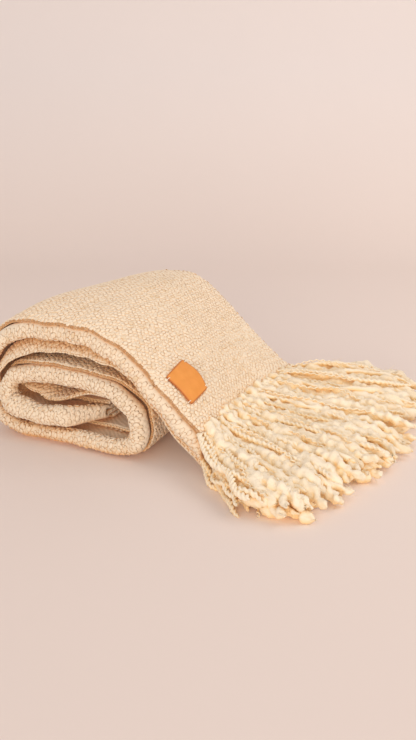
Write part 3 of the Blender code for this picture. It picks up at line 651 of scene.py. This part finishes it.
# Single fibres that stand off the strands: each leaves a strand's surface, runs mostly along
# it and curls as the square of the way along itself.
def fibreMesh():
    share = np.array([len(routes) * radii.mean() for routes, radii in laid])
    paths = []
    for (routes, radii), number in zip(laid, (fibres["count"] * share / share.sum()).astype(int)):
        strand = rng.integers(0, len(routes), number)
        place = rng.integers(2, routes.shape[1] - 2, number)
        forward = unit(routes[strand, place + 1] - routes[strand, place - 1])
        away = rng.normal(0, 1, (number, 3)) + [0, 0, 0.7]
        away = unit(away - forward * np.sum(away * forward, axis=1, keepdims=True))
        start = routes[strand, place] + away * radii[strand, place][:, None] * 0.85
        way = rng.choice([-1, 1], (number, 1))
        u = np.linspace(0, 1, fibres["samples"])[None, :, None]
        length = fibres["length"] * rng.uniform(0.5, 1.3, (number, 1, 1))
        curl = rng.normal(0, 0.5, (number, 1, 3))
        lead = unit(forward * way + away * rng.uniform(0.2, 0.9, (number, 1)))[:, None]
        paths.append(start[:, None] + length * (lead * u + curl * u**2 * 0.6))
    paths = np.concatenate(paths)
    inside = (paths > fringeLow - fibres["spare"]) & (paths < fringeHigh + fibres["spare"])
    paths = paths[np.all(inside, axis=(1, 2))]
    taper = np.linspace(1.0, 0.45, fibres["samples"])[None]
    radii = np.broadcast_to(fibres["radius"] * taper, paths.shape[:2])
    flat = np.ones(radii.shape)
    return strandMesh("looseFibres", paths, radii, flat * 0, flat, fibres, np.full(len(paths), 0.8))


patch = {                    # of leather
    "length": 0.0525, "width": 0.0545,       # down the slope and along the roll
    "start": 0.0440, "fromFold": 0.0240,     # from the cut end and from the near fold
    "skew": 0.0070, "splay": 0.0035,         # it is sewn on askew, and not quite square
    "thick": 0.0022, "seat": 0.0006, "rounding": 0.0006,
    "bow": 0.0042, "flatEnd": 0.09, "nearBow": 0.2, "corner": 0.045, "rows": 30,
}
thread = {                   # short stitches over the patch's long sides
    "fromEnd": 0.0050, "inside": 0.0034, "outside": 0.0019, "arch": 0.0007, "lean": 0.012,
    "radius": 0.00055, "twist": 9.0, "plyShift": 0.35, "plySize": 0.70, "fluff": 0,
    "samples": 14, "sides": 8,
}


# A point of the patch's upper side: p runs 0 to 1 up the slope, q along the roll.
# It lies on the cloth's outer face, raised by its thickness and by a bow.  The bow is a
# sine in p between its flat ends, and grows in a straight line with q.
def onPatch(p, q, lift=0.0):
    along = patch["start"] + patch["length"] * p + patch["skew"] * q
    y = patch["fromFold"] + patch["width"] * q - patch["splay"] * p * (1 - q)
    outer, down, _ = outerFace(along, y)
    bow = np.sin(np.pi * np.clip((p - patch["flatEnd"]) / (1 - 2 * patch["flatEnd"]), 0, 1))
    bow = patch["bow"] * bow * (patch["nearBow"] + (1 - patch["nearBow"]) * q)
    raised = patch["seat"] + patch["thick"] + lift + bow
    point = outer - down * raised[..., None]
    return joined(point[..., 0], y, point[..., 1]) + shift


# A closed sheet with rounded corners, whose upper side dips towards its edge.
def patchMesh():
    p = np.linspace(0, 1, patch["rows"])[:, None]
    a = np.sin(np.pi * (p - 0.5))                # closer towards the edge
    pull = 1 - patch["corner"] * (a * a.T) ** 8
    where = 0.5 + a * pull / 2, 0.5 + a.T * pull / 2
    edge = np.maximum(np.abs(a), np.abs(a.T))
    dip = patch["rounding"] * np.clip((edge - 0.94) / 0.06, 0, 1) ** 2
    points, faces = closedSheet(onPatch(*where, -dip), onPatch(*where, dip - patch["thick"]))
    uv = joined(p.T * patch["width"], p * patch["length"]).reshape(-1, 2)
    return makeMesh("leatherPatch", points, faces, np.tile(uv, (2, 1)), np.tile(edge.ravel(), 2))


# Four threads, each a half wave from the leather out over its edge and down to the cloth.
def stitchMesh():
    t = np.linspace(0, 1, thread["samples"])
    inset = thread["fromEnd"] / patch["length"]
    out = t * (thread["inside"] + thread["outside"]) - thread["inside"]     # past the edge
    over = np.clip(out / thread["outside"], 0, 1)
    lift = thread["arch"] * np.sin(np.pi * t) + 0.0002 - over * (patch["thick"] + patch["seat"])
    routes = np.array([onPatch(p + thread["lean"] * t, q + way * out / patch["width"], lift)
                       for p in (inset, 1 - inset) for q, way in ((0, -1), (1, 1))])
    ones = np.ones(routes.shape[:2])
    return strandMesh("patchStitches", routes, ones * thread["radius"], ones * thread["twist"] * t,
                      ones, thread, np.full(len(routes), 0.6))


# Adds a node and gives back an output of it, the first unless another is named.  Settings
# go to its properties or sockets, and links join its sockets to other nodes' outputs.
def addNode(tree, kind, settings=None, links=None, output=0):
    node = tree.nodes.new("ShaderNode" + kind)
    for key, value in (settings or {}).items():
        if isinstance(key, str) and hasattr(node, key):
            setattr(node, key, value)
        else:
            node.inputs[key].default_value = value
    for key, source in (links or {}).items():
        tree.links.new(source, node.inputs[key])
    return node.outputs[output]


# A material with its Principled shader set; look makes its colour and, if any, its bumps.
def newMaterial(name, settings, look):
    material = bpy.data.materials.new(name)
    material.use_nodes = True
    tree = material.node_tree
    shader = tree.nodes["Principled BSDF"]
    for key, value in settings.items():
        shader.inputs[key].default_value = value
    for socket, output in zip(("Base Color", "Normal"), look(tree)):
        tree.links.new(output, shader.inputs[socket])
    return material


woolLook = {
    "Roughness": 0.95, "Specular IOR Level": 0.2, "Sheen Weight": 0.25, "Sheen Roughness": 0.5,
}
# Painted shade: places between yarns or layers are painted a warmer, darker colour, in place of
# the light that goes down there and comes back warmer.  Openness is 0 in a closed place and 1 in
# the open, looked at as far as depth.  Up to shut a place has the painted shade colour, from open
# on its own, and between them a straight mix.
paintedCreviceShade = {"depth": 0.032, "shut": 0.25, "open": 0.80, "weave": "#E4B880", "roving": "#F7D89E"}


# Colour of wool: the tint that the mesh carries plus a share of each noise, looked up
# between the stops, and mixed with the painted shade of crevices by how open the place is.
def woolColour(tree, noises, stops, paintedShadeColour):
    tone = addNode(tree, "Attribute", {"attribute_name": "tint"}, output="Fac")
    for value, share in noises:
        tone = addNode(tree, "Math", {"operation": "MULTIPLY_ADD", 1: share}, {0: value, 2: tone})
    colour = addNode(tree, "ValToRGB", {}, {"Fac": tone})
    elements = colour.node.color_ramp.elements
    for element, (place, shade) in zip(elements, (stops[0], stops[-1])):
        element.position, element.color = place, linear(shade)
    for place, shade in stops[1:-1]:
        elements.new(place).color = linear(shade)
    # Painted shade: the more closed a place, the more of the painted shade colour it takes.
    openness = addNode(tree, "AmbientOcclusion", {"samples": 8, "Distance": paintedCreviceShade["depth"]},
                       output="AO")
    share = addNode(tree, "MapRange", {"From Min": paintedCreviceShade["shut"], "From Max": paintedCreviceShade["open"]},
                    {"Value": openness})
    return addNode(tree, "Mix", {"data_type": "RGBA", 6: linear(paintedShadeColour)},
                   {0: share, 7: colour}, output=2)


# Undyed wool, hand woven with a slubby weft: matt, cream, a little uneven in tone.
# Fibres are about 0.1 mm, drawn at 0.9 mm so that they show; picks are 4.7 mm apart.
# The bump under the fibres is a check, the sine across times the sine along.
def undyedWeave(tree):
    where = addNode(tree, "TexCoord", output="Object")
    patches = addNode(tree, "TexNoise", {"Scale": 14.0, "Detail": 3.0}, {"Vector": where})
    grain = addNode(tree, "TexNoise", {"Scale": 520.0, "Detail": 4.0, "Roughness": 0.6},
                    {"Vector": where})
    # The lowest stop, a warm brown, is painted shadow: only the top selvedge's beads reach it, as the
    # shadow line under the top layer's edge.
    colour = woolColour(tree, ((patches, 0.5), (grain, 0.5)),
                        ((0.0, "#B98A5C"), (0.50, "#DDC4A0"), (1.0, "#EBDAC0")), paintedCreviceShade["weave"])
    flat = addNode(tree, "UVMap", {"uv_map": "flat"})
    ways = addNode(tree, "SeparateXYZ", {}, {"Vector": flat}).node.outputs
    turns = [addNode(tree, "Math", {"operation": "MULTIPLY", 1: math.pi / weave["pick"]}, {0: way})
             for way in (ways["X"], ways["Y"])]
    waves = [addNode(tree, "Math", {"operation": "SINE"}, {0: turn}) for turn in turns]
    check = addNode(tree, "Math", {"operation": "MULTIPLY"}, {0: waves[0], 1: waves[1]})
    relief = addNode(tree, "Bump", {"Strength": 0.35, "Distance": 0.001}, {"Height": check})
    return colour, addNode(tree, "Bump", {"Strength": 0.42, "Distance": 0.0007},
                           {"Height": grain, "Normal": relief})


# Combed, barely spun wool: lighter and silkier than the weave, its fibres along the strand.
# They are drawn about 0.7 mm apart round the strand and 12 mm long.
def combedRoving(tree):
    where = addNode(tree, "TexCoord", output="Object")
    flat = addNode(tree, "UVMap", {"uv_map": "flat"})
    stretched = addNode(tree, "Mapping", {"Scale": (1400.0, 85.0, 1.0)}, {"Vector": flat})
    fibre = addNode(tree, "TexNoise", {"Scale": 1.0, "Detail": 3.0, "Roughness": 0.55},
                    {"Vector": stretched})
    fluff = addNode(tree, "TexNoise", {"Scale": 240.0, "Detail": 4.0}, {"Vector": where})
    # The crevice colour for roving is painted shade, golden in the gaps between strands.
    colour = woolColour(tree, ((fibre, 0.45), (fluff, 0.5)),
                        ((0.40, "#E8D2AC"), (1.0, "#F6E8CE")), paintedCreviceShade["roving"])
    relief = addNode(tree, "Bump", {"Strength": 0.6, "Distance": 0.0020}, {"Height": fluff})
    return colour, addNode(tree, "Bump", {"Strength": 0.5, "Distance": 0.0012},
                           {"Height": fibre, "Normal": relief})


# Vegetable tanned leather: orange tan with a soft sheen, fine pores and darker cut edges.
# Pores are about 0.5 mm, drawn at 1 mm so that they show.
def tannedLeather(tree):
    edge = addNode(tree, "Attribute", {"attribute_name": "tint"}, output="Fac")
    where = addNode(tree, "TexCoord", output="Object")
    cloud = addNode(tree, "TexNoise", {"Scale": 70.0, "Detail": 4.0}, {"Vector": where})
    plain = addNode(tree, "Mix", {"data_type": "RGBA", 6: linear("#D58630"), 7: linear("#EB9D48")},
                    {0: cloud}, output=2)
    rim = addNode(tree, "MapRange", {"From Min": 0.90, "From Max": 1.0}, {"Value": edge})
    colour = addNode(tree, "Mix", {"data_type": "RGBA", 7: linear("#B3622A")},
                     {0: rim, 6: plain}, output=2)
    pores = addNode(tree, "TexVoronoi", {"Scale": 950.0}, {"Vector": where})
    return colour, addNode(tree, "Bump", {"Strength": 0.25, "Distance": 0.0003}, {"Height": pores})


# Waxed linen thread, off-white with a slight gloss; its twist is in the mesh.
def waxedThread(tree):
    where = addNode(tree, "TexCoord", output="Object")
    fibre = addNode(tree, "TexNoise", {"Scale": 900.0}, {"Vector": where})
    return [addNode(tree, "Mix", {"data_type": "RGBA", 6: linear("#E9DCC6"), 7: linear("#FFF8EA")},
                    {0: fibre}, output=2)]


# Matt background paper in a pale rose beige, a little greyer up the wall.  Close to the
# throw it is drawn lighter, in place of the light that a white studio bounces into the
# shadow round its foot.
def mattPaper(tree):
    where = addNode(tree, "TexCoord", output="Object")
    grain = addNode(tree, "TexNoise", {"Scale": 3.0}, {"Vector": where})
    wall = addNode(tree, "Mix", {"data_type": "RGBA", 6: linear("#DFD7D3"), 7: linear("#E2DAD6")},
                   {0: grain}, output=2)
    height = addNode(tree, "SeparateXYZ", {}, {"Vector": where}, output="Z")
    rise = addNode(tree, "MapRange", {"From Min": 0.05, "From Max": 0.5}, {"Value": height})
    faded = addNode(tree, "Mix", {"data_type": "RGBA", 6: linear("#E3D6CE")},
                    {0: rise, 7: wall}, output=2)
    openness = addNode(tree, "AmbientOcclusion", {"samples": 8, "Distance": 0.16}, output="AO")
    share = addNode(tree, "MapRange", {"From Min": 0.15, "From Max": 0.95}, {"Value": openness})
    return [addNode(tree, "Mix", {"data_type": "RGBA", 6: linear("#FAF1EA")},
                    {0: share, 7: faded}, output=2)]


leatherLook = {
    "Roughness": 0.52, "Specular IOR Level": 0.35, "Subsurface Weight": 0.05,
    "Subsurface Scale": 0.002,
}
woolFinish = newMaterial("undyedWoolWeave", woolLook, undyedWeave)
rovingFinish = newMaterial("combedWoolRoving", woolLook, combedRoving)
leatherFinish = newMaterial("vegetableTannedLeather", leatherLook, tannedLeather)
threadFinish = newMaterial("waxedLinenThread", {"Roughness": 0.6}, waxedThread)
paperFinish = newMaterial("backgroundPaper", {"Roughness": 1.0, "Specular IOR Level": 0.1}, mattPaper)

print("cloth")
sheet = addPiece(clothMesh(), woolFinish, "throw_cloth")
nearBand = (span["near fold"][0] + 3, span["settle"][1])      # bare where the lip covers it
lowerBand = (span["sag"][0] - 2, span["sag"][1] - 1)
topBand = (span["lip"][0], span["layer one"][1])
# Floats lie where the weave shows.  The top layer has two pieces, parted half way along
# where the roll turns under, so that neither is too large.
relief = [
    floatMesh("weftFloatsTop", upperFace, -1, [(topBand, 0.004, 0.56)]),
    floatMesh("weftFloatsRound", upperFace, -1, [(topBand, 0.5636, 1.06)]),
    floatMesh("weftFloatsNearFold", lowerFace, 1, [(nearBand, *everyRow)], 0.0025, 1.1),
    floatMesh("weftFloatsFarFold", upperFace, -1,
              [(span["far turn"], *everyRow), (span["second far turn"], *everyRow)]),
    floatMesh("weftFloatsInnerEdge", upperFace, -1, [((0, 6), 1.06, everyRow[1])]),
    floatMesh("weftFloatsLowerEdge", lowerFace, 1, [(lowerBand, *everyRow)]),
    # Painted shadow: the top selvedge's beads get a low tint, which paints them warm brown along the
    # shadow line where the top layer's edge lies on the fold below.
    selvedgeMesh("selvedgeTurnsTop", 0, -0.45),
    selvedgeMesh("selvedgeTurnsBottom", upperFace.shape[1] - 1, 0.3),
]
relief = [addPiece(mesh, woolFinish) for mesh in relief]

print("fringe")
rng = np.random.default_rng(3)      # its own draws, so that it stays when the weave changes
strandPieces = (
    ("rovingStrandsLower", rovings, rovings["tiers"][:2], "fringe_comb"),
    ("rovingStrandsUpper", rovings, rovings["tiers"][2:], None),
    ("pliedStrands", plied, plied["tiers"], None),
    ("warpStrands", warps, warps["tiers"], None),
    ("wispStrands", wisps, wisps["tiers"], None),
    ("rovingStrandsBetween", bed, bed["tiers"], None),
)
strands = [addPiece(tierMesh(name, settings, tiers), rovingFinish, node)
           for name, settings, tiers, node in strandPieces]
fuzz = addPiece(fibreMesh(), rovingFinish)

print("leather patch")
addPiece(patchMesh(), leatherFinish, "label_patch")
addPiece(stitchMesh(), threadFinish)

# A plain paper sweep: flat floor, then a wide curve up behind.
sweep = {"half": 4.0, "front": -3.0, "bend": 1.15, "radius": 0.9, "top": 3.6, "turn": 26.5}


# The profile is a line, a quarter circle and a line, carried sideways and turned about Z.
def sweepMesh():
    angle = np.linspace(0, np.pi / 2, 25)
    depth = np.concatenate([[sweep["front"]], sweep["bend"] + sweep["radius"] * np.sin(angle),
                            [sweep["bend"] + sweep["radius"]]])
    height = np.concatenate([[0.0], sweep["radius"] * (1 - np.cos(angle)), [sweep["top"]]])
    d, s = depth[:, None], np.linspace(-sweep["half"], sweep["half"], 9)
    a = math.radians(sweep["turn"])
    points = joined(s * math.cos(a) - d * math.sin(a), s * math.sin(a) + d * math.cos(a),
                    height[:, None])
    return makeMesh("paperSweep", points.reshape(-1, 3), [gridFaces(len(depth), len(s), 0, True)])


paper = bpy.data.objects.new("paperSweep", sweepMesh())
scene.collection.objects.link(paper)
paper.data.materials.append(paperFinish)

# Softboxes and the room: place, aim, size, colour and power.
lamps = {
    "highRight": ((1.8, 0.5, 1.9), (0.1, 0.0, 0.1), 1.8, "#FFF8F2", 22.0),
    "front": ((1.3, -4.2, 0.6), (0.0, 0.0, 0.1), 2.2, "#FFF4EC", 120.0),
    "backdrop": ((0.7, 1.5, 2.4), (0.3, 2.6, 0.3), 1.6, "#FFF6F2", 6.0),
}
room = {"colour": "#FFF7F5", "strength": 0.68}


# A square area lamp at a place, turned to what it aims at.
def addLamp(name, place, aim, size, colour, power):
    light = bpy.data.lights.new(name, "AREA")
    light.shape, light.size, light.energy = "SQUARE", size, power
    light.color = linear(colour)[:3]
    lamp = bpy.data.objects.new(name, light)
    lamp.location = place
    lamp.rotation_euler = (Vector(aim) - Vector(place)).to_track_quat("-Z", "Y").to_euler()
    scene.collection.objects.link(lamp)


print("light and camera")
for name, settings in lamps.items():
    addLamp(name, *settings)
world = bpy.data.worlds.new("room")
world.use_nodes = True
background = world.node_tree.nodes["Background"]
background.inputs["Color"].default_value = linear(room["colour"])
background.inputs["Strength"].default_value = room["strength"]
scene.world = world
scene.view_settings.view_transform = "Standard"
scene.cycles.diffuse_bounces = 10       # deep folds are lit by many bounces
scene.cycles.max_bounces = 12

# The camera stands 1.3 m in front of the roll and looks down on it.  Its place is from the
# middle of the roll's near end.
shot = {"place": (0.7573, -1.0622, 0.550), "turn": 26.5, "down": 18.4, "lens": 46.0}
camera = bpy.data.objects.new("camera", bpy.data.cameras.new("camera"))
camera.data.lens = shot["lens"]
camera.location = Vector(shot["place"]) + Vector(shift)
camera.rotation_euler = (math.radians(90 - shot["down"]), 0, math.radians(shot["turn"]))
scene.collection.objects.link(camera)
scene.camera = camera
